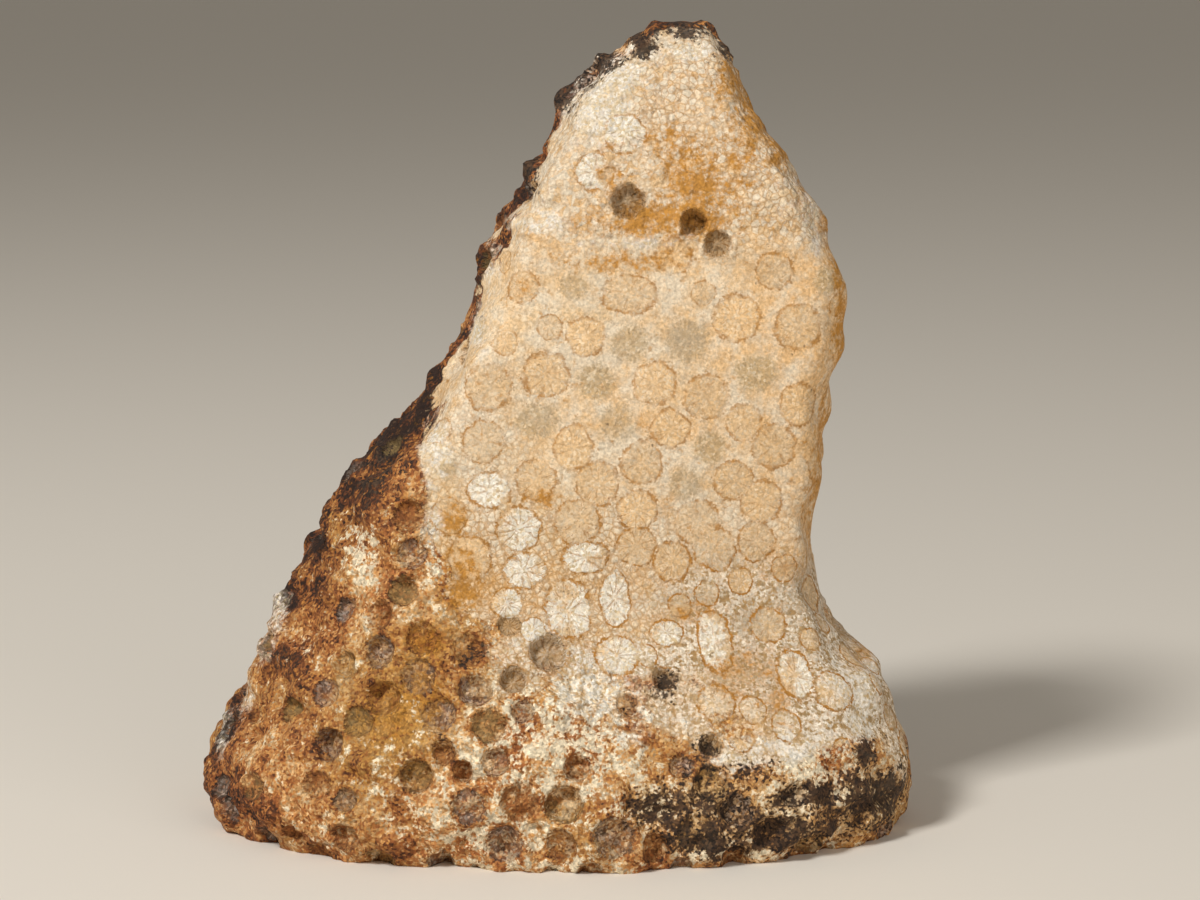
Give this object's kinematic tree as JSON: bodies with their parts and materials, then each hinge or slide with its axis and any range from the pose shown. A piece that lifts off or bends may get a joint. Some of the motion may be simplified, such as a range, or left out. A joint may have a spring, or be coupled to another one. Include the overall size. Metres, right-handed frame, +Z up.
{
  "type": "fossil coral",
  "caption": "Upright, leaning piece of fossil coral with a worn pale front of flush rosettes, a brown pitted rind and a flat cut base that it stands on.",
  "frame": {"origin": "middle of the stone's box, on the flat base", "axes": "+Z up from the base to the tip, +X to the right seen from the worn front, +Y from the worn front to the back"},
  "size_m": [0.1258, 0.0885, 0.14],
  "materials": {
    "coral_stone": "matt weathered limestone, cream on the worn front and rust brown on the rind"
  },
  "bodies": {
    "root": {"fossil_coral": "coral_stone"}
  },
  "joints": []
}
